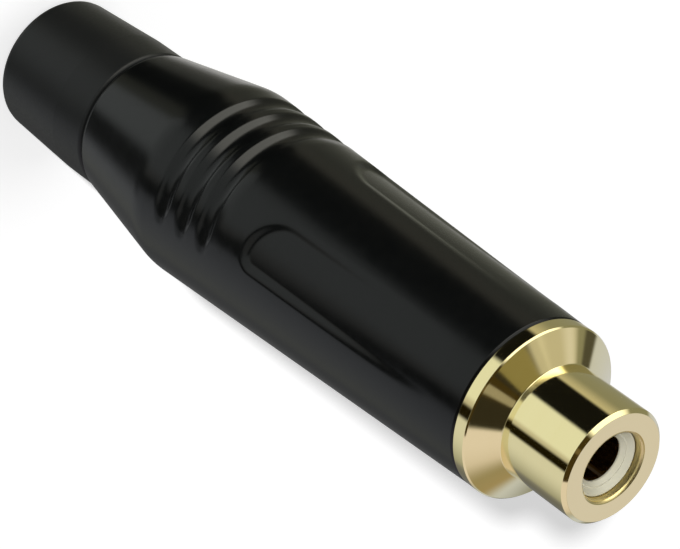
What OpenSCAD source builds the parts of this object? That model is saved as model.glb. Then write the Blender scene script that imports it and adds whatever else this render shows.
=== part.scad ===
// In-line phono socket: a gold-plated socket in a black die-cast shell, with a screwed-on cable boot.
// It stands on the boot's end with its mouth up. The origin is the centre of that end face, and the
// shell's plain field for a mark faces -Y. Threads are drawn as plain cylinders of their full diameter.

/* [Ground contact] */
// Outside diameter of the barrel that a plug's ring slides over
barrel_d = 8.3; // [8:0.1:8.8]
// Length of the barrel in front of the cone
barrel_len = 6; // [5:0.5:9]
// Bevel round the barrel's rim
rim_bevel = 0.25; // [0.1:0.05:0.4]
// Diameter of the opening in the barrel's front face
mouth_d = 4.9; // [4.6:0.1:5.6]
// Length of the cone between the barrel and the flange
cone_len = 1.1; // [0.6:0.1:2]
// Width of the flange's plain band
band_w = 1.1; // [0.6:0.1:2]
// Outside diameter of the flange, which is the shell's diameter at its front edge too
flange_d = 12.6; // [12.2:0.1:13.4]
// Edge break on the flange
flange_bevel = 0.1; // [0.05:0.05:0.2]
// Diameter of the thread that holds the shell
front_thread_d = 10.5; // [10.2:0.1:11]
// Length of that thread
front_thread_len = 5; // [4.5:0.25:6]
// Height of that thread's ridges
front_thread_depth = 0.45; // [0.3:0.05:0.5]
// Wall of the collar behind the thread, which carries the ground lug
collar_wall = 0.45; // [0.35:0.05:0.6]
// Length of the collar
collar_len = 2; // [1.5:0.1:2.5]
// How far the collar's staked lip stands out over the ground lug
stake_lip = 0.2; // [0.1:0.05:0.3]

/* [Insulator] */
// How far the insulator's edge lies behind the barrel's rim
insulator_recess = 0.5; // [0.3:0.1:1]
// Length of the insulator
insulator_len = 15.2; // [14.8:0.1:16.4]
// Length of the insulator's nose, which fills the mouth
nose_len = 4; // [3:0.2:5]
// Depth of the dish in the insulator's front face
dish_depth = 0.45; // [0.2:0.05:0.6]
// Diameter of the hole that a plug's pin enters by
pin_hole_d = 3.3; // [3.28:0.01:3.5]
// Thickness of the insulator's front wall behind the dish
front_wall = 0.4; // [0.35:0.05:0.8]
// Lead-in chamfer of the pin hole
lead_in = 0.25; // [0.1:0.05:0.3]
// Width of the flat ring between the dish and the lead-in
face_ring = 0.08; // [0.04:0.02:0.12]

/* [Centre contact] */
// Bore of the centre contact, for a 3.2 mm pin
contact_bore_d = 3.24; // [3.22:0.01:3.26]
// Wall of the centre contact
contact_wall = 0.33; // [0.25:0.01:0.38]
// Distance from the insulator's end to the bottom of the pin's bore
pin_floor = 0.4; // [0.2:0.1:1]
// Width of the slots between the spring tines
tine_slot = 0.4; // [0.2:0.05:0.5]
// Length of the spring tines
tine_len = 9; // [6:0.5:10]
// Room for the tines to spring outwards
tine_room = 0.1; // [0.06:0.01:0.14]
// Diameter of the stop collar behind the insulator
stop_collar_d = 5; // [4.6:0.1:5.8]
// Thickness of the stop collar
stop_collar_t = 0.8; // [0.5:0.1:1.2]
// Outside diameter of the solder cup
cup_d = 2.8; // [2.4:0.1:3.2]
// Length of the solder cup
cup_len = 6.5; // [5:0.5:8]
// Bore of the solder cup
cup_bore_d = 1.9; // [1.5:0.1:2]
// Length of the cup's open side
cup_open_len = 4; // [3:0.5:4.5]

/* [Ground lug] */
// Thickness of the lug's sheet
lug_t = 0.4; // [0.3:0.05:0.5]
// Width of the lug's ring round the collar
lug_ring_w = 0.7; // [0.6:0.05:0.8]
// Width of the lug's tail
lug_tail_w = 2.8; // [2.4:0.1:3.2]
// Distance from the lug's ring to the front of its cable saddle
lug_tail_len = 14; // [12:0.5:15]
// Width of the cable saddle along the cable
saddle_len = 4; // [3:0.5:4.5]
// Open part of the saddle, where the cable is laid in
saddle_open = 120; // [90:5:150]
// Diameter of the solder hole in the tail
solder_hole_d = 1.3; // [0.8:0.1:1.6]
// Distance from the lug's ring to the solder hole
solder_hole_at = 6; // [4:0.5:9]

/* [Shell] */
// Length of the shell
shell_len = 42; // [42:0.5:48]
// Diameter at the shell's shoulder, its widest place
shoulder_d = 14.76; // [14.2:0.02:16]
// Distance from the shell's rear edge to the shoulder
shoulder_at = 9.2; // [8:0.1:9.6]
// Radius that blends the shoulder
shoulder_round = 3; // [0.5:0.5:3.5]
// Diameter of the shell at its rear edge
shell_rear_d = 11.3; // [11.1:0.05:12]
// Radius of the shell's rounded rear edge
rear_round = 0.35; // [0.1:0.05:0.4]
// Edge break at the shell's front edge
shell_bevel = 0.12; // [0.05:0.01:0.2]
// Diameter of the hole through the shell's inner stop ring
stop_ring_d = 7.6; // [7:0.1:8]
// Thickness of that stop ring
stop_ring_t = 1; // [0.6:0.1:1.5]

/* [Grip grooves] */
// Number of grooves in front of the shoulder
groove_count = 3; // [1:1:3]
// Distance from the shoulder to the middle of the nearest groove
groove_first = 2.45; // [1.5:0.05:3]
// Distance between the middles of neighbouring grooves
groove_pitch = 2.25; // [2:0.05:2.4]
// Width of a groove
groove_w = 1.5; // [1:0.05:1.7]
// Depth of a groove
groove_depth = 0.26; // [0.15:0.01:0.35]
// Angle that a groove reaches to each side of the plain field
groove_reach = 74; // [60:1:85]

/* [Side recesses] */
// Angle from the middle of the plain field to a recess's near edge
recess_near = 26; // [22:1:30]
// Angle from the middle of the plain field to a recess's far edge
recess_far = 61; // [55:1:68]
// Distance from the shoulder to a recess's rear end
recess_from = 11.2; // [10:0.1:13]
// Distance over which a recess fades out towards the front
recess_len = 19; // [14:0.5:20]
// Depth of a recess at its rear end
recess_depth = 0.28; // [0.15:0.01:0.4]
// Radius of a recess's corner next to the plain field
recess_near_round = 3.2; // [2:0.1:3.4]
// Radius of a recess's far corner
recess_far_round = 0.9; // [0.3:0.1:0.9]

/* [Boot] */
// Length of the boot outside the shell
boot_len = 10.8; // [9:0.1:14]
// Diameter of the boot next to the shell
boot_d = 11.2; // [11:0.05:11.8]
// Diameter of the boot at its end, before its edge is rounded
boot_end_d = 10.44; // [10:0.02:11]
// Length of the boot's straight part, next to the shell
boot_straight = 3.4; // [2:0.1:5]
// Radius of the boot's rounded end edge
boot_round = 0.65; // [0.3:0.05:0.8]
// Edge break next to the shell
boot_bevel = 0.15; // [0.05:0.05:0.25]
// Bore that the cable enters by
cable_bore_d = 6.8; // [6.6:0.1:7]
// Flare at the bore's outer end
bore_flare = 0.3; // [0.1:0.05:0.4]
// Diameter of the boot's thread
boot_thread_d = 9.7; // [9.6:0.1:9.9]
// Length of the boot's thread
boot_thread_len = 6; // [5.5:0.1:6.5]
// Height of the ridges of the boot's thread
boot_thread_depth = 0.4; // [0.3:0.05:0.4]

/* [Cable clamp] */
// Length of the clamp's ring in front of its jaws
clamp_ring_len = 5; // [4:0.1:6]
// Inside diameter of the clamp's jaws
clamp_bore_d = 6.3; // [6.1:0.1:6.4]
// Thickness of a jaw at its root
jaw_root_t = 0.72; // [0.66:0.02:0.74]
// Thickness of a jaw at its tip
jaw_tip_t = 0.44; // [0.34:0.02:0.48]
// Length of the jaws
jaw_len = 8.6; // [7:0.1:9]
// Number of jaws
jaw_count = 4; // [3:1:8]
// Width of the slot between two jaws
jaw_slot = 0.9; // [0.6:0.1:1.4]
// Height of the gripping ridges inside the jaws
tooth_h = 0.25; // [0.1:0.05:0.3]
// Distance between the gripping ridges
tooth_pitch = 1; // [0.8:0.1:1.4]
// Number of gripping ridges
tooth_count = 5; // [3:1:5]
// Width of the two keys that stop the clamp from turning
key_w = 1.6; // [1:0.1:2]
// How far the keys stand out
key_h = 0.35; // [0.2:0.05:0.4]

/* [Insulating sleeve] */
// Wall of the sleeve
sleeve_wall = 0.3; // [0.2:0.05:0.4]

/* [Fits] */
// Radial gap between a thread or barrel and the bore that it turns in
turn_gap = 0.05; // [0.03:0.01:0.08]
// Radial gap round a piece that slides without turning
slide_gap = 0.08; // [0.05:0.01:0.1]
// Gap between a pressed piece and its seat
press_gap = 0.02; // [0.01:0.01:0.03]
// Gap between faces that are screwed up against each other
seat_gap = 0.05; // [0.02:0.01:0.1]
// Loose gap round the lug and the sleeve
loose_gap = 0.15; // [0.1:0.05:0.2]

/* [Hidden] */
$fn = 96;
over = 1;

// Heights from the boot's end face
shell_z = boot_len + seat_gap;
shell_top = shell_z + shell_len;
flange_z = shell_top + seat_gap;
cone_z = flange_z + band_w;
barrel_z = cone_z + cone_len;
rim_z = barrel_z + barrel_len;
thread_end_z = flange_z - front_thread_len;
collar_end_z = thread_end_z - collar_len;
insulator_top = rim_z - insulator_recess;
dish_z = insulator_top - dish_depth;
insulator_end = insulator_top - insulator_len;
nose_z = insulator_top - nose_len;
shoulder_z = shell_z + shoulder_at;

// Radii that mating pieces share, from the shell's bore inwards
bore_r = front_thread_d / 2 - front_thread_depth;
sleeve_r = bore_r - 2 * slide_gap;
sleeve_in_r = sleeve_r - sleeve_wall;
lug_r = sleeve_in_r - loose_gap;
collar_r = lug_r - lug_ring_w - press_gap;
seat_r = collar_r - collar_wall;
insulator_r = seat_r - press_gap;
contact_r = contact_bore_d / 2 + contact_wall;
boot_thread_r = boot_thread_d / 2;
clamp_r = boot_thread_r - boot_thread_depth - slide_gap;
key_r = clamp_r + key_h;
jaw_in_r = clamp_bore_d / 2;

// The lug's ring lies against the end of the thread, and its tail is bent down inside its edge
lug_z = thread_end_z - lug_t;
tail_y = sqrt(pow(lug_r, 2) - pow(lug_tail_w / 2, 2)) - seat_gap;

// Heights inside the rear of the shell
rear_thread_end = shell_z + boot_thread_len + 3 * loose_gap;
clamp_z = rear_thread_end + loose_gap;
clamp_top = clamp_z + clamp_ring_len;
stop_z = clamp_top + seat_gap;
stop_top = stop_z + stop_ring_t;
jaw_tip_z = clamp_z - jaw_len;
boot_step_z = jaw_tip_z - 2 * loose_gap;
boot_top = boot_len + boot_thread_len;

// Points of an arc round [x, y] from angle a to angle b
function arc(x, y, r, a, b, steps = 6) =
    [for (i = [0 : steps]) let (t = a + (b - a) * i / steps) [x + r * cos(t), y + r * sin(t)]];

// Outside radius of the shell in front of its shoulder
function flank_r(z) = shoulder_d / 2
    + (flange_d - shoulder_d) / 2 * (z - shoulder_z) / (shell_top - shoulder_z);

// Radius of the floor of the side recesses, which meets the flank where they fade out
recess_z = shoulder_z + recess_from;
function floor_r(z) = flank_r(z) - recess_depth * (1 - (z - recess_z) / recess_len);

// The shoulder's blend touches the rear cone and the flank
rear_slope = atan((shoulder_d - shell_rear_d) / 2 / shoulder_at);
flank_slope = atan((shoulder_d - flange_d) / 2 / (shell_top - shoulder_z));
blend_reach = shoulder_round * tan((rear_slope + flank_slope) / 2);
blend_x = shoulder_d / 2 - blend_reach * sin(rear_slope) - shoulder_round * cos(rear_slope);
blend_y = shoulder_z - blend_reach * cos(rear_slope) + shoulder_round * sin(rear_slope);
rear_reach = rear_round * tan(45 - rear_slope / 2);

module tube(r_out, r_in, z, h) {
    translate([0, 0, z]) difference() {
        cylinder(r = r_out, h = h);
        translate([0, 0, -over]) cylinder(r = r_in, h = h + 2 * over);
    }
}

// Turned brass: barrel, cone, flange, thread, and a collar whose lip is staked over the lug's ring
module outer_contact() {
    barrel_r = barrel_d / 2;
    flat_w = lug_tail_w + 2 * loose_gap;
    color("#d8bf7c") difference() {
        rotate_extrude() polygon([
            [mouth_d / 2, rim_z],
            [barrel_r - rim_bevel, rim_z],
            [barrel_r, rim_z - rim_bevel],
            [barrel_r, barrel_z],
            [flange_d / 2 - flange_bevel, cone_z],
            [flange_d / 2, cone_z - flange_bevel],
            [flange_d / 2, flange_z + flange_bevel],
            [flange_d / 2 - flange_bevel, flange_z],
            [front_thread_d / 2, flange_z],
            [front_thread_d / 2, thread_end_z],
            [collar_r, thread_end_z],
            [collar_r, lug_z],
            [collar_r + stake_lip, lug_z],
            [collar_r, lug_z - lug_t],
            [collar_r, collar_end_z],
            [seat_r, collar_end_z],
            [seat_r, nose_z],
            [mouth_d / 2, nose_z]
        ]);
        // Flat that clears the lug's tail
        translate([-flat_w / 2, tail_y - lug_t - press_gap, collar_end_z - over])
            cube([flat_w, lug_r, collar_len + over - lug_t / 2]);
    }
}

// Moulded white plastic, pressed into the ground contact from behind
module insulator() {
    nose_r = mouth_d / 2 - press_gap;
    room_r = contact_r + tine_room;
    room_top = dish_z - front_wall;
    face_r = pin_hole_d / 2 + lead_in;
    room_end = room_top - tine_len - 2 * loose_gap;
    color("#ecebe4") rotate_extrude() polygon([
        [face_r, dish_z],
        [face_r + face_ring, dish_z],
        [nose_r, insulator_top],
        [nose_r, nose_z - press_gap],
        [insulator_r, nose_z - press_gap],
        [insulator_r, insulator_end],
        [contact_r + press_gap, insulator_end],
        [contact_r + press_gap, room_end],
        [room_r, room_end],
        [room_r, room_top],
        [pin_hole_d / 2, room_top],
        [pin_hole_d / 2, dish_z - lead_in]
    ]);
}

// Turned contact with four spring tines, a stop collar and a solder cup
module centre_contact() {
    front_z = dish_z - front_wall - loose_gap;
    collar_top = insulator_end;
    cup_top = collar_top - stop_collar_t;
    cup_end = cup_top - cup_len;
    color("#c9ab62") difference() {
        union() {
            translate([0, 0, cup_top]) cylinder(r = contact_r, h = front_z - cup_top);
            translate([0, 0, cup_top]) cylinder(d = stop_collar_d, h = stop_collar_t);
            translate([0, 0, cup_end]) cylinder(d = cup_d, h = cup_len + stop_collar_t / 2);
        }
        translate([0, 0, insulator_end + pin_floor]) cylinder(d = contact_bore_d, h = insulator_len);
        translate([0, 0, cup_end - over]) cylinder(d = cup_bore_d, h = cup_len + over);
        for (a = [0, 90]) rotate([0, 0, a])
            translate([-contact_r - over, -tine_slot / 2, front_z - tine_len])
                cube([2 * (contact_r + over), tine_slot, tine_len + over]);
        translate([-cup_d, 0, cup_end - over]) cube([2 * cup_d, cup_d, cup_open_len + over]);
    }
}

// Stamped ring, tail and cable saddle, bent from one sheet
module ground_lug() {
    saddle_top = lug_z - lug_tail_len;
    color("#cfd0cc") difference() {
        union() {
            tube(lug_r, collar_r + press_gap, lug_z, lug_t);
            translate([-lug_tail_w / 2, tail_y - lug_t, saddle_top - saddle_len / 2])
                cube([lug_tail_w, lug_t, lug_tail_len + saddle_len / 2 + lug_t / 2]);
            translate([0, 0, saddle_top - saddle_len])
                rotate([0, 0, saddle_open / 2 - 90])
                    rotate_extrude(angle = 360 - saddle_open)
                        translate([lug_r - lug_t, 0]) square([lug_t, saddle_len]);
        }
        translate([0, tail_y + over, lug_z - solder_hole_at])
            rotate([90, 0, 0]) cylinder(d = solder_hole_d, h = lug_t + 2 * over);
    }
}

// Plain plastic tube between the soldered joints and the shell
module insulating_sleeve() {
    low = stop_top + seat_gap;
    high = thread_end_z - seat_gap;
    color("#3b3f45") tube(sleeve_r, sleeve_in_r, low, high - low);
}

// One grip groove: a ring sector with a rounded section and ball ends
module groove(z) {
    cut_r = (pow(groove_w / 2, 2) + pow(groove_depth, 2)) / (2 * groove_depth);
    mid_r = flank_r(z) - groove_depth + cut_r;
    end_angle = groove_reach - asin(groove_w / 2 / flank_r(z));
    translate([0, 0, z]) rotate([0, 0, -90]) {
        rotate([0, 0, -end_angle]) rotate_extrude(angle = 2 * end_angle)
            translate([mid_r, 0]) circle(r = cut_r);
        for (side = [-1, 1]) rotate([0, 0, side * end_angle])
            translate([mid_r, 0, 0]) sphere(r = cut_r);
    }
}

// One side recess: a rounded outline cut square to the surface, above a floor that rises to it
module recess(side) {
    low = recess_z;
    high = low + recess_len;
    mid = (recess_far + recess_near) / 2;
    half_w = flank_r(low) * sin((recess_far - recess_near) / 2);
    near_r = recess_near_round;
    far_r = recess_far_round;
    outline = concat(
        arc(half_w - far_r, low + far_r, far_r, 0, -90),
        arc(near_r - half_w, low + near_r, near_r, -90, -180, 10),
        [[-half_w, high + over], [half_w, high + over]]
    );
    difference() {
        rotate([0, 0, side * mid]) mirror([side < 0 ? 1 : 0, 0, 0]) rotate([90, 0, 0])
            linear_extrude(shoulder_d) polygon(outline);
        translate([0, 0, low - over])
            cylinder(r1 = floor_r(low - over), r2 = floor_r(high + 2 * over), h = recess_len + 3 * over);
    }
}

// Die-cast shell: rear cone, shoulder, long flank, and a stepped bore
module shell() {
    rear_bore_r = boot_thread_r + turn_gap;
    clamp_seat_r = clamp_r + slide_gap;
    front_bore_r = front_thread_d / 2 + turn_gap;
    front_bore_z = thread_end_z - 2 * loose_gap;
    key_slot = key_w + 2 * slide_gap;
    color("#333636") difference() {
        rotate_extrude() polygon(concat(
            [[0, shell_z]],
            arc(shell_rear_d / 2 - rear_reach, shell_z + rear_round, rear_round, -90, -rear_slope),
            arc(blend_x, blend_y, shoulder_round, -rear_slope, flank_slope),
            [[flange_d / 2, shell_top - shell_bevel],
             [flange_d / 2 - shell_bevel, shell_top],
             [0, shell_top]]
        ));
        translate([0, 0, shell_z - over]) cylinder(r = rear_bore_r, h = rear_thread_end - shell_z + over);
        translate([0, 0, shell_z]) cylinder(r = clamp_seat_r, h = stop_z - shell_z);
        translate([0, 0, shell_z]) cylinder(d = stop_ring_d, h = shell_len);
        translate([0, 0, stop_top]) cylinder(r = bore_r, h = shell_top - stop_top + over);
        translate([0, 0, front_bore_z]) cylinder(r = front_bore_r, h = shell_top - front_bore_z + over);
        translate([-key_r - slide_gap, -key_slot / 2, rear_thread_end - over])
            cube([2 * (key_r + slide_gap), key_slot, stop_z - rear_thread_end + over]);
        for (i = [0 : groove_count - 1]) groove(shoulder_z + groove_first + i * groove_pitch);
        for (side = [-1, 1]) recess(side);
    }
}

// Plastic chuck: a keyed ring with sprung jaws that the boot's cone closes on the cable
module cable_clamp() {
    teeth = [for (i = [0 : 2 * tooth_count])
        [jaw_in_r - (i % 2) * tooth_h, jaw_tip_z + i / 2 * tooth_pitch]];
    color("#d9d8d2") difference() {
        union() {
            rotate_extrude() polygon(concat(
                [[jaw_in_r, clamp_top],
                 [clamp_r, clamp_top],
                 [clamp_r, clamp_z],
                 [jaw_in_r + jaw_root_t, clamp_z],
                 [jaw_in_r + jaw_tip_t, jaw_tip_z]],
                teeth
            ));
            for (a = [0, 180]) rotate([0, 0, a])
                translate([clamp_r - jaw_root_t / 2, -key_w / 2, clamp_z])
                    cube([key_h + jaw_root_t / 2, key_w, clamp_ring_len]);
        }
        for (i = [0 : jaw_count - 1]) rotate([0, 0, (i + 0.5) * 360 / jaw_count])
            translate([0, -jaw_slot / 2, jaw_tip_z - over])
                cube([clamp_r + over, jaw_slot, jaw_len - jaw_root_t + over]);
    }
}

// Moulded boot: a gland nut whose inner cone holds the clamp's jaws
module boot() {
    mouth_r = jaw_in_r + jaw_root_t + slide_gap;
    cone_end_r = jaw_in_r + jaw_tip_t + slide_gap;
    taper = atan((boot_d - boot_end_d) / 2 / (boot_len - boot_straight));
    cone_step = (mouth_r - cone_end_r) / jaw_len;
    color("#2b2c2d") rotate_extrude() polygon(concat(
        [[cable_bore_d / 2, bore_flare],
         [cable_bore_d / 2 + bore_flare, 0]],
        arc(boot_end_d / 2 - boot_round, boot_round, boot_round, -90, -taper),
        [[boot_d / 2, boot_len - boot_straight],
         [boot_d / 2, boot_len - boot_bevel],
         [boot_d / 2 - boot_bevel, boot_len],
         [boot_thread_r, boot_len],
         [boot_thread_r, boot_top],
         [cone_end_r + cone_step * (boot_top - jaw_tip_z), boot_top],
         [cone_end_r, jaw_tip_z],
         [cone_end_r, boot_step_z],
         [cable_bore_d / 2, boot_step_z]]
    ));
}

outer_contact();
insulator();
centre_contact();
ground_lug();
insulating_sleeve();
shell();
cable_clamp();
boot();
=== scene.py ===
import math

import bpy
import numpy as np
from mathutils import Matrix, Vector


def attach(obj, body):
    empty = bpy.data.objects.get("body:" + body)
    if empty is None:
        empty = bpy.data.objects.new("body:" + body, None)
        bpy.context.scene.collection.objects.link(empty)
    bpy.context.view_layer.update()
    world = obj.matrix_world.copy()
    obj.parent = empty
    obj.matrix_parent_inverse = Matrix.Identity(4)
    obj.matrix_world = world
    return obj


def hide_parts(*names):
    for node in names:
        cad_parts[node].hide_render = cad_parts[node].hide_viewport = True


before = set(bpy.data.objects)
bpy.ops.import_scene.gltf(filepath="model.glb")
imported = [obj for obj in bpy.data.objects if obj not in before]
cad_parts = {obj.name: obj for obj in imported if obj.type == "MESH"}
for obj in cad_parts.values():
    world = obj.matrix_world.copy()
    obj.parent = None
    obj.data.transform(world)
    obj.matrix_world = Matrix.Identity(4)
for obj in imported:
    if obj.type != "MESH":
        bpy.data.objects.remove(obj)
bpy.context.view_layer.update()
mm = 0.001


def linearColour(hexCode):  # sRGB hex to the linear colour that Blender's sockets take
    parts = [int(hexCode[i:i + 2], 16) / 255 for i in (1, 3, 5)]
    return [c / 12.92 if c <= 0.04045 else ((c + 0.055) / 1.055) ** 2.4 for c in parts] + [1]


# An input takes a value, a socket or a node. Inputs 6 and 7 of a Mix node are its two colours.
def addNode(tree, kind, inputs=None, **settings):
    node = tree.nodes.new(kind)
    for key, value in settings.items():
        setattr(node, key, value)
    for key, value in (inputs or {}).items():
        if isinstance(value, bpy.types.Node):
            value = value.outputs[0]
        if isinstance(value, bpy.types.NodeSocket):
            tree.links.new(value, node.inputs[key])
        else:
            node.inputs[key].default_value = value
    return node


def direction(azimuth, elevation):  # azimuth 0 is -Y and 90 is +X, in degrees
    a, e = math.radians(azimuth), math.radians(elevation)
    return Vector((math.sin(a) * math.cos(e), -math.cos(a) * math.cos(e), math.sin(e)))


# How roundings are divided. One takes up at most the longest share of the shorter edge beside it, and
# one over the large radius, in mm, has a step for each so many degrees.
arcRows = {"longest": 0.42, "largeRadius": 1, "largeStep": 6, "supportRow": 0.04, "supportShare": 0.05}


# A corner is (radius, height, rounding, spacing of the rows up to the next corner), in mm.
# Each rounding gets one more row just beyond it, so that smooth shading leaves the flats flat.
def profileRows(corners, arcSteps=4):
    rows, count = [], len(corners)
    points = [np.array(c[:2], float) for c in corners]
    for i, corner in enumerate(corners):
        here = points[i]
        back, ahead = points[i - 1] - here, points[(i + 1) % count] - here
        lengths = np.linalg.norm(back), np.linalg.norm(ahead)
        back, ahead = back / lengths[0], ahead / lengths[1]
        rounding = corner[2] if len(corner) > 2 else 0
        spacing = corner[3] if len(corner) > 3 else 1e3
        piece = [here]
        if rounding:
            half = math.acos(np.clip(back @ ahead, -1, 1)) / 2
            reach = min(rounding / math.tan(half), arcRows["longest"] * min(lengths))
            radius = reach * math.tan(half)
            middle = here + (back + ahead) / np.linalg.norm(back + ahead) * radius / math.sin(half)
            first, last = here + back * reach - middle, here + ahead * reach - middle
            turn = math.acos(np.clip(first @ last / radius ** 2, -1, 1))
            steps = arcSteps
            if rounding > arcRows["largeRadius"]:
                steps = max(steps, int(math.degrees(turn) / arcRows["largeStep"]))
            piece = []
            for k in range(steps + 1):
                t = k / steps
                weights = math.sin((1 - t) * turn), math.sin(t * turn)
                piece.append(middle + (first * weights[0] + last * weights[1]) / math.sin(turn))
            room = min(arcRows["supportRow"], arcRows["supportShare"] * min(lengths))
            piece = [piece[0] + back * room] + piece + [piece[-1] + ahead * room]
        if rows:
            rows += between(rows[-1], piece[0], lastSpacing)
        rows += piece
        lastSpacing = spacing
    return np.array(rows + between(rows[-1], rows[0], lastSpacing))


def between(start, end, spacing):  # evenly spaced rows strictly between two points
    steps = max(1, math.ceil(np.linalg.norm(end - start) / spacing))
    return [start + (end - start) * k / steps for k in range(1, steps)]


# A closed skin swept round the axis. Shape changes the radius of each point by height and azimuth.
def turnedPiece(name, rows, angles, shape=None):
    azimuth = np.asarray(angles, float)[None, :]
    radius = np.repeat(rows[:, :1], azimuth.size, 1)
    height = np.repeat(rows[:, 1:], azimuth.size, 1)
    if shape:
        radius = shape(radius, height, azimuth)
    turn = np.radians(azimuth)
    points = np.stack([radius * np.sin(turn), -radius * np.cos(turn), height], -1) * mm
    rowCount, columnCount = radius.shape
    index = np.arange(rowCount * columnCount).reshape(rowCount, columnCount)
    up, across = np.roll(index, -1, 0), np.roll(index, -1, 1)
    faces = np.stack([index, across, np.roll(up, -1, 1), up], -1).reshape(-1, 4)
    area = (rows[:, 0] * np.roll(rows[:, 1], -1) - np.roll(rows[:, 0], -1) * rows[:, 1]).sum()
    if area < 0:  # the profile runs the other way round, so the faces turn too
        faces = faces[:, ::-1]
    mesh = bpy.data.meshes.new(name)
    mesh.from_pydata(points.reshape(-1, 3).tolist(), [], faces.tolist())
    mesh.shade_smooth()
    mesh.validate()
    piece = bpy.data.objects.new(name, mesh)
    bpy.context.scene.collection.objects.link(piece)
    return piece


# The threads are shared by the pieces that screw together. Their flanks stand at about 60 degrees.
# Root and flank are shares of the pitch, and the rest of it is the flat crest.
frontThread = {"crest": 5.25, "depth": 0.45, "pitch": 0.75}
rearThread = {"crest": 4.85, "depth": 0.4, "pitch": 1.0}
threadForm = {"root": 0.22, "flank": 0.62, "clearance": 0.05, "margin": 0.05}


# The radius of the bolt's surface. Moved out by the clearance, it is the nut's.
def threadSurface(height, azimuth, thread):
    phase = height / thread["pitch"] - azimuth / 360
    ridge = np.abs(2 * (phase - np.floor(phase)) - 1)
    valley = 1 - np.clip((ridge - threadForm["root"]) / threadForm["flank"], 0, 1)
    return thread["crest"] - thread["depth"] * valley


def placePiece(piece, body, slotName, material, *nodes):
    piece.data.materials.clear()
    piece.data.materials.append(material)
    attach(piece, body)
    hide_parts(*nodes)


noiseRange = (0.3, 0.7)  # nearly all of a noise texture's values lie here


# Grain is a list of (size of a bump in mm, its height in mm). Turned pieces stretch it round their axis.
def surfaceMaterial(look):
    material = bpy.data.materials.new(look["name"])
    material.use_nodes = True
    tree = material.node_tree
    tree.nodes.clear()
    place = addNode(tree, "ShaderNodeTexCoord").outputs["Object"]
    if look.get("turned"):
        parts = addNode(tree, "ShaderNodeSeparateXYZ", {0: place}).outputs
        flat = addNode(tree, "ShaderNodeCombineXYZ", {"X": parts["X"], "Y": parts["Y"]})
        radius = addNode(tree, "ShaderNodeVectorMath", {0: flat}, operation="LENGTH").outputs["Value"]
        place = addNode(tree, "ShaderNodeCombineXYZ", {"X": radius, "Y": parts["Z"]})
    cloud = addNode(tree, "ShaderNodeTexNoise", {
        "Vector": place, "Scale": 1000 / look["patchSize"], "Detail": 3.0}).outputs["Fac"]
    colour = addNode(tree, "ShaderNodeMix", {
        0: cloud, 6: linearColour(look["colour"]), 7: linearColour(look["secondColour"])},
        data_type="RGBA").outputs[2]
    fine = addNode(tree, "ShaderNodeTexNoise", {
        "Vector": place, "Scale": 1000 / look["grain"][0][0], "Detail": 2.0}).outputs["Fac"]
    roughness = addNode(tree, "ShaderNodeMapRange", {
        "Value": fine, "From Min": noiseRange[0], "From Max": noiseRange[1],
        "To Min": look["roughness"][0], "To Max": look["roughness"][1]}).outputs["Result"]
    normal = None
    for size, depth in look["grain"]:
        noise = addNode(tree, "ShaderNodeTexNoise", {
            "Vector": place, "Scale": 1000 / size, "Detail": 2.0}).outputs["Fac"]
        inputs = {"Height": noise, "Distance": depth * mm, "Strength": 1.0}
        if normal:
            inputs["Normal"] = normal
        normal = addNode(tree, "ShaderNodeBump", inputs).outputs["Normal"]
    shader = addNode(tree, "ShaderNodeBsdfPrincipled", {
        "Base Color": colour, "Roughness": roughness, "Normal": normal,
        "Metallic": look["metallic"], "Specular IOR Level": look.get("specular", 0.5)})
    if "ior" in look:
        shader.inputs["IOR"].default_value = look["ior"]
    addNode(tree, "ShaderNodeOutputMaterial", {"Surface": shader})
    return material


# Thin gold over polished turned brass: a near mirror, with faint rings left by the lathe tool.
goldPlatedBrass = surfaceMaterial({
    "name": "goldPlatedTurnedBrass", "colour": "#ecdfab", "secondColour": "#e9dba4",
    "metallic": 1.0, "roughness": (0.05, 0.08), "patchSize": 0.9, "turned": True,
    "grain": [(0.12, 0.00012), (0.4, 0.00015)]})  # feed marks of 0.05 mm, drawn coarser to show

# The same gold inside the mouth, over brass left as the drill cut it: it blurs what it mirrors. Its darker
# colour is painted shade for the dim inside of the mouth.
goldBoredBrassPaintedShade = surfaceMaterial({
    "name": "goldPlatedBoredBrassPaintedShade", "colour": "#dccb94", "secondColour": "#d4c288",
    "metallic": 1.0, "roughness": (0.3, 0.38), "patchSize": 0.9, "turned": True,
    "grain": [(0.12, 0.0003)]})

# Gold over drawn spring brass: softer shine than the turned barrel, without rings.
goldSpringBrass = surfaceMaterial({
    "name": "goldPlatedSpringBrass", "colour": "#dcc27c", "secondColour": "#d2b56c",
    "metallic": 1.0, "roughness": (0.16, 0.26), "patchSize": 1.5,
    "grain": [(0.25, 0.0006)]})

# Hot tin over stamped brass sheet: a greyish, slightly wavy shine.
tinnedBrass = surfaceMaterial({
    "name": "tinnedStampedBrass", "colour": "#c9cac6", "secondColour": "#b9bab4",
    "metallic": 1.0, "roughness": (0.24, 0.38), "patchSize": 1.2,
    "grain": [(0.5, 0.003), (0.12, 0.0006)]})

# Injection-moulded ABS: pale grey-white, smooth enough for a soft highlight.
mouldedWhiteAbs = surfaceMaterial({
    "name": "mouldedWhiteAbs", "colour": "#cdcab6", "secondColour": "#c5c2ae",
    "metallic": 0.0, "ior": 1.54, "roughness": (0.34, 0.44), "patchSize": 1.4,
    "grain": [(0.2, 0.0008)]})

# The same plastic inside the bore, painted dark brown as shade: it lies in the dark behind the contact's
# slits, where the key lamp reaches deeper than it should.
paintedShadeWhiteAbs = surfaceMaterial({
    "name": "mouldedWhiteAbsPaintedShadeInBore", "colour": "#5e4c34", "secondColour": "#55442e",
    "metallic": 0.0, "ior": 1.54, "roughness": (0.5, 0.6), "patchSize": 1.4,
    "grain": [(0.2, 0.0008)]})

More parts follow.
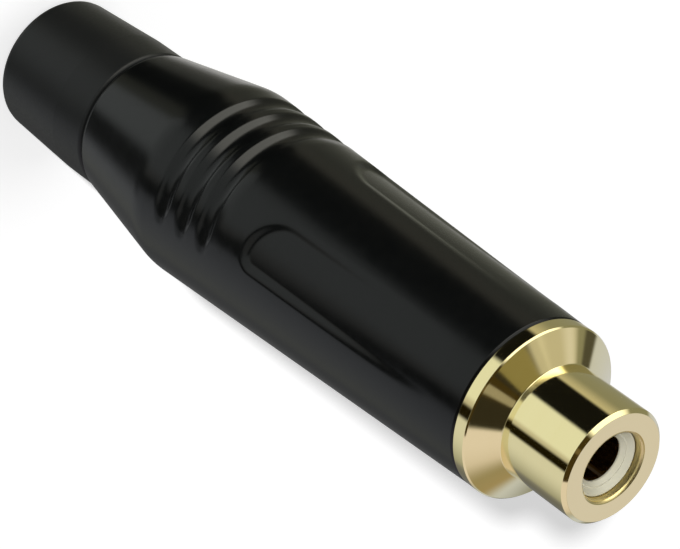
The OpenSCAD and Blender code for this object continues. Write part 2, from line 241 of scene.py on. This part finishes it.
# Die-cast zinc under a stoved satin black paint: it mirrors the bright cards round it as soft bands.
stovedPaint = surfaceMaterial({
    "name": "stovedPaintOnDieCastZinc", "colour": "#050606", "secondColour": "#070808",
    "metallic": 0.0, "ior": 1.5, "specular": 0.25, "roughness": (0.2, 0.24), "patchSize": 2.5,
    "grain": [(0.7, 0.0012), (0.16, 0.0003)]})  # orange peel, and the dust that the paint takes up

# Injection-moulded ABS from a fine spark-eroded mould: an even matte black.
mouldedBlackAbs = surfaceMaterial({
    "name": "mouldedBlackAbs", "colour": "#101111", "secondColour": "#131414",
    "metallic": 0.0, "ior": 1.54, "specular": 0.17, "roughness": (0.36, 0.44), "patchSize": 2.0,
    "grain": [(0.16, 0.0035)]})  # spark pits of 0.05 mm, drawn coarser to show

# Natural polyamide: cream white with a waxy surface.
mouldedNylon = surfaceMaterial({
    "name": "mouldedNaturalNylon", "colour": "#dedacb", "secondColour": "#d4cfbd",
    "metallic": 0.0, "ior": 1.53, "roughness": (0.4, 0.5), "patchSize": 1.6,
    "grain": [(0.3, 0.0015)]})

# Extruded PVC tube: dark grey with a low gloss along its drawing lines.
extrudedPvc = surfaceMaterial({
    "name": "extrudedPvc", "colour": "#34383d", "secondColour": "#3a3e43",
    "metallic": 0.0, "ior": 1.54, "roughness": (0.3, 0.42), "patchSize": 1.6,
    "grain": [(0.3, 0.001)]})
print("materials made")


roundAngles = np.arange(0, 360, 1.875)  # the columns of the pieces that are round all the way


# Ground contact: barrel, cone, flange and thread, turned in one piece. The collar behind the thread has
# a lip, staked over the lug, and a flat that keeps the lug from turning.
contactSizes = {
    "rim": 61.1, "mouth": 2.45, "mouthRound": 0.25, "barrel": 4.15, "rimBevel": 0.25,
    "coneFront": 55.1, "coneBack": 54.0, "flange": 6.3, "flangeBack": 52.9, "flangeBevel": 0.1,
    "threadFront": 52.5, "crestFront": 52.2, "crestBack": 48.3, "threadBack": 47.9, "threadRow": 0.08,
    "collar": 3.47, "collarBack": 45.9, "lip": 3.67, "lipFront": 47.5, "lipBack": 47.1,
    "flat": 3.479, "flatFront": 47.7, "seat": 3.02, "seatFront": 56.6, "boredWall": 0.15}


def makeOuterContact():
    s = contactSizes
    crest, root = frontThread["crest"], frontThread["crest"] - frontThread["depth"]
    bevel, edge, row = s["rimBevel"], s["flangeBevel"], s["threadRow"]
    corners = [
        (s["mouth"], s["rim"], s["mouthRound"]), (s["barrel"] - bevel, s["rim"], 0.03),
        (s["barrel"], s["rim"] - bevel, 0.03), (s["barrel"], s["coneFront"], 0.05),
        (s["flange"] - edge, s["coneBack"], 0.03), (s["flange"], s["coneBack"] - edge, 0.03),
        (s["flange"], s["flangeBack"] + edge, 0.03), (s["flange"] - edge, s["flangeBack"], 0.03),
        (root, s["flangeBack"], 0.05), (root, s["threadFront"], 0, row),
        (crest, s["crestFront"], 0, row), (crest, s["crestBack"], 0, row),
        (root, s["threadBack"], 0.03), (s["collar"], s["threadBack"]), (s["collar"], s["lipFront"]),
        (s["lip"], s["lipFront"], 0.02), (s["collar"], s["lipBack"]),
        (s["collar"], s["collarBack"], 0.04), (s["seat"], s["collarBack"], 0.04),
        (s["seat"], s["seatFront"]), (s["mouth"], s["seatFront"])]

    def cutThread(radius, height, azimuth):
        threaded = height < s["threadFront"] + threadForm["margin"]
        radius = np.where(threaded, np.minimum(
            radius, threadSurface(height, azimuth, frontThread)), radius)
        flat = s["flat"] / np.maximum(-np.cos(np.radians(azimuth)), 0.1)  # 0.1 keeps the far side round
        return np.where(height < s["flatFront"], np.minimum(radius, flat), radius)

    piece = turnedPiece("outerContactTurned", profileRows(corners), roundAngles, cutThread)
    placePiece(piece, "socket", "gold_plate", goldPlatedBrass, "outer_contact")
    # The mouth's inner wall takes the bored gold, whose darker colour there is painted shade.
    piece.data.materials.append(goldBoredBrassPaintedShade)
    for face in piece.data.polygons:
        if face.center.xy.length / mm < s["mouth"] + s["boredWall"]:
            face.material_index = 1


makeOuterContact()
print("ground contact made")


# Insulator, pressed into the ground contact. Its front is dished down to the pin's hole, and behind
# that the contact's tines have room to open.
insulatorSizes = {
    "edge": 60.6, "nose": 2.43, "dish": 60.15, "dishFlat": 0.08, "hole": 1.65, "leadIn": 0.25,
    "body": 3.0, "bodyFront": 56.58, "back": 45.4, "stem": 1.97,
    "tines": 2.05, "tinesBack": 50.45, "tinesFront": 59.75, "shadeMargin": 0.05}


def makeInsulator():
    s = insulatorSizes
    flare = s["hole"] + s["leadIn"]
    corners = [
        (flare, s["dish"], 0.02), (flare + s["dishFlat"], s["dish"], 0.02),
        (s["nose"], s["edge"], 0.08), (s["nose"], s["bodyFront"]), (s["body"], s["bodyFront"], 0.06),
        (s["body"], s["back"], 0.06), (s["stem"], s["back"], 0.03), (s["stem"], s["tinesBack"]),
        (s["tines"], s["tinesBack"]), (s["tines"], s["tinesFront"]), (s["hole"], s["tinesFront"], 0.05),
        (s["hole"], s["dish"] - s["leadIn"], 0.06)]
    piece = turnedPiece("insulatorMoulded", profileRows(corners), roundAngles)
    placePiece(piece, "socket", "white_insulator", mouldedWhiteAbs, "insulator")
    # Faces deep in the bore, behind the tines, take the dark copy: painted shade.
    piece.data.materials.append(paintedShadeWhiteAbs)
    for face in piece.data.polygons:
        radius, height = face.center.xy.length / mm, face.center.z / mm
        inBore = radius < s["tines"] + s["shadeMargin"]
        if inBore and s["tinesBack"] + s["shadeMargin"] < height < s["tinesFront"]:
            face.material_index = 1


makeInsulator()
print("insulator made")


# Boot: a gland nut with the clamp's cone inside.
bootSizes = {
    "end": 5.22, "endRound": 0.65, "side": 5.6, "taperTop": 7.4, "taperRound": 2.0,
    "length": 10.8, "frontRound": 0.3,
    "threadBack": 11.3, "crestBack": 11.6, "crestFront": 16.4, "threadFront": 16.8, "threadRow": 0.1,
    "coneFront": 3.929, "coneBack": 3.67, "coneStart": 8.85, "floor": 8.55,
    "entry": 3.4, "entryBevel": 0.3}


def makeBoot():
    s = bootSizes
    crest, root = rearThread["crest"], rearThread["crest"] - rearThread["depth"]
    row = s["threadRow"]
    corners = [
        (s["end"], 0, s["endRound"]), (s["side"], s["taperTop"], s["taperRound"]),
        (s["side"], s["length"], s["frontRound"]), (root, s["length"], 0.05),
        (root, s["threadBack"], 0, row), (crest, s["crestBack"], 0, row),
        (crest, s["crestFront"], 0, row), (root, s["threadFront"], 0.05),
        (s["coneFront"], s["threadFront"], 0.05), (s["coneBack"], s["coneStart"]),
        (s["coneBack"], s["floor"], 0.05), (s["entry"], s["floor"], 0.05),
        (s["entry"], s["entryBevel"], 0.1), (s["entry"] + s["entryBevel"], 0, 0.1)]

    def cutThread(radius, height, azimuth):
        threaded = height > s["threadBack"] - threadForm["margin"]
        return np.where(threaded, np.minimum(
            radius, threadSurface(height, azimuth, rearThread)), radius)

    piece = turnedPiece("bootMoulded", profileRows(corners, 5), roundAngles, cutThread)
    placePiece(piece, "boot", "boot_plastic", mouldedBlackAbs, "boot")


makeBoot()
print("boot made")


# Shell: cast with grip grooves and side recesses, threaded at both ends. Inside, a ring stops the clamp
# and two slots take the clamp's keys. Angles are measured from the middle of the plain field.
shellSizes = {
    "rear": 10.85, "front": 52.85, "shoulder": 20.05, "shoulderRadius": 7.38, "shoulderRound": 6.5,
    "frontRadius": 6.3, "frontBevel": 0.12, "carvedFrom": 5.6,
    "grooveHeights": (22.7, 24.95, 27.2), "grooveWidth": 1.5, "grooveDepth": 0.26,
    "grooveEnd": 68.1, "grooveFade": (56, 74), "grooveSoft": 0.11,
    "recessStart": 31.25, "recessLength": 19, "recessDepth": 0.21, "recessScoop": 0.12,
    "recessMiddle": 43.9, "recessHalf": 2.06,
    "recessNearRound": 3.2, "recessFarRound": 0.9, "recessSoft": 0.42,
    "bore": 4.8, "frontNut": 47.6, "frontTurnsFrom": 47.75, "stopFront": 23.5, "stopBack": 22.5,
    "stop": 3.8, "clampBore": 4.45, "rearNut": 17.3, "rearTurnsTo": 17.25,
    "slotsTo": 22.51, "slotFloorFrom": 4.3, "slotHalf": 0.88, "slotRadius": 4.8}


def flankRadius(height):
    s = shellSizes
    share = (height - s["shoulder"]) / (s["front"] - s["shoulder"])
    return s["shoulderRadius"] + (s["frontRadius"] - s["shoulderRadius"]) * share


def softPositive(value, width):  # max(value, 0) with its corner rounded over 2 widths
    blend = (value + width) ** 2 / (4 * width)
    return np.where(value > width, value, np.where(value < -width, 0, blend))


# How deep the three grooves are: round in section, and running out softly towards the back.
def grooveCut(side, height):
    s = shellSizes
    half, depth = s["grooveWidth"] / 2, s["grooveDepth"]
    cutter = (half ** 2 + depth ** 2) / (2 * depth)
    start, end = s["grooveFade"]
    fade = np.clip((side - start) / (end - start), 0, 1)
    lift = depth * fade * fade * (3 - 2 * fade)
    total = 0
    for middle in s["grooveHeights"]:
        past = np.radians(np.maximum(side - s["grooveEnd"], 0)) * flankRadius(middle)
        away = np.minimum(np.hypot(past, height - middle), cutter)
        cut = np.sqrt(cutter ** 2 - away ** 2) - (cutter - depth) - lift
        total = np.maximum(total, softPositive(cut, s["grooveSoft"]))
    return total


# How deep a side recess is: a scooped floor that starts at a rounded end and fades out forwards.
def recessCut(side, height):
    s = shellSizes
    across = flankRadius(height) * np.sin(np.radians(np.clip(side - s["recessMiddle"], -90, 90)))
    edge = -np.inf
    for sign, rounding in ((-1, s["recessNearRound"]), (1, s["recessFarRound"])):
        x = sign * across - (s["recessHalf"] - rounding)
        y = s["recessStart"] + rounding - height
        corner = np.hypot(np.maximum(x, 0), np.maximum(y, 0)) + np.minimum(np.maximum(x, y), 0)
        edge = np.maximum(edge, corner - rounding)
    inside = np.clip(0.5 - edge / (2 * s["recessSoft"]), 0, 1)
    inside = inside * inside * (3 - 2 * inside)
    run = np.clip((height - s["recessStart"]) / s["recessLength"], 0, 1)
    scoop = s["recessScoop"] * np.clip(1 - (across / s["recessHalf"]) ** 2, 0, 1)
    return (s["recessDepth"] + scoop) * (1 - run * run) * inside


def shellShape(radius, height, azimuth):
    s = shellSizes
    side = np.abs((azimuth + 180) % 360 - 180)
    carved = radius > s["carvedFrom"]
    radius = radius - np.where(carved, grooveCut(side, height) + recessCut(side, height), 0)
    for threaded, thread in ((height > s["frontTurnsFrom"], frontThread),
                             (height < s["rearTurnsTo"], rearThread)):
        surface = threadSurface(height, azimuth, thread) + threadForm["clearance"]
        radius = np.where(threaded, np.maximum(radius, surface), radius)
    inSlot = np.abs(np.cos(np.radians(azimuth))) * s["slotRadius"] < s["slotHalf"]
    slotted = inSlot & (height < s["slotsTo"]) & (radius > s["slotFloorFrom"])
    return np.where(slotted, np.maximum(radius, s["slotRadius"]), radius)


def makeShell():
    s = shellSizes
    rear, front, bevel = s["rear"], s["front"], s["frontBevel"]
    rearCorner = [(5.3, rear, 0.1), (5.59, rear + 0.13, 0.2), (5.735, rear + 0.45, 0.5)]
    frontFlare = [(5.5, front, 0.03), (5.3, front - 0.15, 0, 0.08), (4.86, front - 0.55, 0, 0.08)]
    rearFlare = [(4.5, 11.5, 0, 0.1), (4.95, 11.1), (5.0, rear, 0.03)]
    # Rows of the flank, as (height, spacing above it): close across the grooves and the recess's end.
    flank = [(flankRadius(z), z, 0, step) for z, step in (
        (21.65, 0.1), (28.0, 1.0), (30.9, 0.12), (35.2, 0.8), (49.8, 0.5), (51.0, 2.0))]
    corners = rearCorner + [(s["shoulderRadius"], s["shoulder"], s["shoulderRound"])] + flank + [
        (s["frontRadius"], front - bevel, 0.05), (s["frontRadius"] - bevel, front, 0.03)
    ] + frontFlare + [
        (s["bore"] + 0.05, s["frontNut"] + 0.05, 0, 0.5), (s["bore"], s["frontNut"]),
        (s["bore"], s["stopFront"], 0.1), (s["stop"], s["stopFront"], 0.1),
        (s["stop"], s["stopBack"], 0.1), (s["clampBore"], s["stopBack"]),
        (s["clampBore"], s["rearNut"]), (s["clampBore"] + 0.05, s["rearNut"] - 0.1, 0, 0.1)] + rearFlare
    # Columns, as (from, to, step) in degrees: close at the recesses' edges, wide on the plain back.
    columns = ((-84, 84, 1.0), (23, 30, 0.5), (57, 65, 0.5), (-30, -23, 0.5), (-65, -57, 0.5),
               (84, 106, 1.5), (-106, -84, 1.5), (106, 254, 3.0))
    angles = np.unique(np.concatenate([np.arange(a, b, step) % 360 for a, b, step in columns]))
    piece = turnedPiece("shellCast", profileRows(corners), angles, shellShape)
    placePiece(piece, "shell", "black_shell", stovedPaint, "shell")


makeShell()
print("shell made")


# The pieces whose CAD shape stays get their real finish.
cadFinishes = {
    "centre_contact": goldSpringBrass, "ground_lug": tinnedBrass,
    "insulating_sleeve": extrudedPvc, "cable_clamp": mouldedNylon}
for nodeName, material in cadFinishes.items():
    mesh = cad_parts[nodeName].data
    mesh.materials.clear()
    mesh.materials.append(material)
print("carried-over pieces finished")


floorLook = {"size": 4.0, "colour": "#f4f4f4", "shown": 0.35, "drop": 0.02}


# The floor is white paper. Towards the camera part of it glows, so that it reaches plain white
# where it is lit and still takes a soft shadow.
def makeFloor():
    half = floorLook["size"] / 2
    z = -floorLook["drop"] * mm
    mesh = bpy.data.meshes.new("floorPaper")
    mesh.from_pydata([(-half, -half, z), (half, -half, z), (half, half, z), (-half, half, z)],
                     [], [(0, 1, 2, 3)])
    floor = bpy.data.objects.new("floorPaper", mesh)
    bpy.context.scene.collection.objects.link(floor)
    floor.visible_glossy = False  # metal mirrors the soft cards of the world instead
    material = bpy.data.materials.new("whitePaper")
    material.use_nodes = True
    tree = material.node_tree
    tree.nodes.clear()
    rays = addNode(tree, "ShaderNodeLightPath").outputs
    seen = rays["Is Camera Ray"]
    for kind in ("Is Glossy Ray", "Is Transmission Ray"):
        seen = addNode(tree, "ShaderNodeMath", {0: seen, 1: rays[kind]}, operation="MAXIMUM")
    strength = addNode(tree, "ShaderNodeMath", {0: seen, 1: floorLook["shown"]},
                       operation="MULTIPLY")
    paper = addNode(tree, "ShaderNodeBsdfDiffuse", {"Color": linearColour(floorLook["colour"])})
    glow = addNode(tree, "ShaderNodeEmission", {"Strength": strength})
    both = addNode(tree, "ShaderNodeAddShader", {0: paper, 1: glow})
    addNode(tree, "ShaderNodeOutputMaterial", {"Surface": both})
    mesh.materials.append(material)


makeFloor()

# The lamps light what is matte and cast the shadow. Gloss mirrors the tent's cards, not the lamps.
lampLooks = {
    "keyLamp": {"azimuth": 26.5, "elevation": 34.2, "strength": 2.4, "angle": 1.5},
    "topLamp": {"azimuth": -60.0, "elevation": 84.0, "strength": 0.4, "angle": 9.0}}


def makeLamp(name, look):
    data = bpy.data.lights.new(name, "SUN")
    data.energy = look["strength"]
    data.angle = math.radians(look["angle"])
    lamp = bpy.data.objects.new(name, data)
    bpy.context.scene.collection.objects.link(lamp)
    lamp.rotation_mode = "QUATERNION"
    lamp.rotation_quaternion = direction(look["azimuth"], look["elevation"]).to_track_quat("Z", "Y")
    lamp.visible_glossy = False


for lampName, lampLook in lampLooks.items():
    makeLamp(lampName, lampLook)

# What gloss mirrors: soft cards round a tent, painted over each other in this order.
# (azimuth, half width, elevation, half height, softness across, softness up, lean, level, tint)
# Lean shifts a card's azimuth by that many degrees for each degree further up.
tentCards = [
    (190, 36, -52, 34, 12, 10, 0, 0.18, "#fafcfc"),
    (-88, 26, -72, 22, 16, 10, 0, 0.2, "#fcfde8"),
    (100, 38, -40, 55, 70, 20, 0, 0.84, "#f6faff"),
    (130, 34, 26, 37, 14, 5, 0, 0.89, "#fbf3ff"),
    (187, 20, 30, 24, 44, 6, 0, 0.42, "#ffe8bc"),
    (180, 14, 0, 12, 20, 12, 0, 0.9, "#dbe4ff"),
    (38, 42, -40, 70, 4, 6, 0, 0.95, "#f9fffc"),
    (71, 8, -35, 60, 10, 6, 0, 0.62, "#fffdf4"),
    (-130, 16, -2, 20, 8, 8, 0, 0.9, "#dfe6ff"),
    (-142, 12, -38, 22, 16, 12, 0, 0.55, "#fffdf8"),
    (-135, 22, -62, 20, 16, 10, 0, 0.9, "#fffdf8"),
    (-50, 12, -32, 30, 30, 10, 0, 0.61, "#fff8dc"),
    (-49.55, 28, -58, 40, 8, 8, 1.35, 0.008, "#fffff0"),
    (-26, 34, 5, 21, 16, 8, 0, 4.2, "#fffdf0"),
    (76, 8.5, -25, 30, 7, 4, -0.3, 0.012, "#ffe060"),
    (84, 26, -69, 18, 22, 12, 0, 0.05, "#fffdf4"),
    (0, 181, 90, 27, 1, 4, 0, 0.035, "#fff0c8"),
    (52.5, 56.5, 64, 26, 4, 4, 0, 0.058, "#ffd97c"),
    (46, 6, 55, 4, 6, 4, 0, 0.17, "#ffe0a0"),
    (-66, 30, 77, 11, 8, 4, 0, 0.29, "#fff0a8"),
    (100, 30, 84, 2.5, 10, 2, 0, 0.38, "#fff6e0"),
    (-93, 18, 51, 18, 5, 6, 0, 0.62, "#fffaeb"),
    (-104, 6, 40, 6, 8, 8, 0, 0.78, "#fffdff"),
    (-151, 18, 38, 22, 8, 8, 0, 0.9, "#eeecff"),
    (-115.8, 3.9, 23, 8, 3, 6, 0, 0.09, "#fffbe0"),
    (-39, 37, 41.5, 16.5, 24, 4, 0, 1.8, "#fffffa")]
tentBase = (0.3, "#fcfde0")  # what shows between the cards
fillLevel = 0.2  # the even light that matte surfaces get


def glowColour(level, tint):
    return [c * level for c in linearColour(tint)[:3]] + [1]


def makeWorld():
    world = bpy.data.worlds.new("tent")
    bpy.context.scene.world = world
    world.use_nodes = True
    world.cycles.sampling_method = "NONE"  # matte surfaces get an even fill, so there is nothing to aim at
    tree = world.node_tree
    tree.nodes.clear()
    place = addNode(tree, "ShaderNodeTexCoord").outputs["Generated"]
    parts = addNode(tree, "ShaderNodeSeparateXYZ", {0: place}).outputs
    back = addNode(tree, "ShaderNodeMath", {0: parts["Y"], 1: -1.0}, operation="MULTIPLY")
    around = addNode(tree, "ShaderNodeMath", {0: parts["X"], 1: back}, operation="ARCTAN2")
    azimuth = addNode(tree, "ShaderNodeMath", {0: around}, operation="DEGREES")
    rise = addNode(tree, "ShaderNodeMath", {0: parts["Z"]}, operation="ARCSINE")
    elevation = addNode(tree, "ShaderNodeMath", {0: rise}, operation="DEGREES")
    colour = glowColour(*tentBase)
    for middle, halfWidth, height, halfHeight, softAcross, softUp, lean, level, tint in tentCards:
        leant = addNode(tree, "ShaderNodeMath", {
            0: elevation, 1: -lean, 2: azimuth}, operation="MULTIPLY_ADD")
        turned = addNode(tree, "ShaderNodeMath", {
            0: leant, 1: middle - lean * height}, operation="SUBTRACT")
        across = addNode(tree, "ShaderNodeMath", {0: turned, 1: 180.0, 2: -180.0}, operation="WRAP")
        up = addNode(tree, "ShaderNodeMath", {0: elevation, 1: height}, operation="SUBTRACT")
        share = None
        for offset, half, soft in ((across, halfWidth, softAcross), (up, halfHeight, softUp)):
            away = addNode(tree, "ShaderNodeMath", {0: offset}, operation="ABSOLUTE")
            share = addNode(tree, "ShaderNodeMapRange", {
                "Value": away, "From Min": half - soft / 2, "From Max": half + soft / 2,
                "To Min": share or 1.0, "To Max": 0.0}, interpolation_type="SMOOTHSTEP")
        colour = addNode(tree, "ShaderNodeMix", {0: share, 6: colour, 7: glowColour(level, tint)},
                         data_type="RGBA").outputs[2]
    rays = addNode(tree, "ShaderNodeLightPath").outputs
    mirrored = addNode(tree, "ShaderNodeMath", {
        0: rays["Is Glossy Ray"], 1: rays["Is Transmission Ray"]}, operation="MAXIMUM")
    lit = addNode(tree, "ShaderNodeMix", {0: mirrored, 6: [fillLevel] * 3 + [1], 7: colour},
                  data_type="RGBA").outputs[2]
    shown = addNode(tree, "ShaderNodeMix", {0: rays["Is Camera Ray"], 6: lit, 7: [1, 1, 1, 1]},
                    data_type="RGBA").outputs[2]
    background = addNode(tree, "ShaderNodeBackground", {"Color": shown, "Strength": 1.0})
    addNode(tree, "ShaderNodeOutputWorld", {"Surface": background})


makeWorld()
print("floor and light made")


# The camera was fitted to the edges of the barrel, flange, shell and boot.
cameraLook = {
    "place": (86.492, -154.137, 180.986), "right": (-0.76708, 0.16306, 0.62048),
    "up": (-0.52062, -0.72337, -0.45353), "lens": 180, "sensor": 36, "near": 0.01, "far": 20}


def makeCamera():
    data = bpy.data.cameras.new("photoCamera")
    data.lens, data.sensor_width = cameraLook["lens"], cameraLook["sensor"]
    data.clip_start, data.clip_end = cameraLook["near"], cameraLook["far"]
    camera = bpy.data.objects.new("photoCamera", data)
    bpy.context.scene.collection.objects.link(camera)
    right, up = Vector(cameraLook["right"]), Vector(cameraLook["up"])
    axes = Matrix((right, up, right.cross(up))).transposed()
    camera.matrix_world = Matrix.Translation(Vector(cameraLook["place"]) * mm) @ axes.to_4x4()
    bpy.context.scene.camera = camera


makeCamera()
bpy.context.scene.view_settings.view_transform = "Standard"
print("camera made")
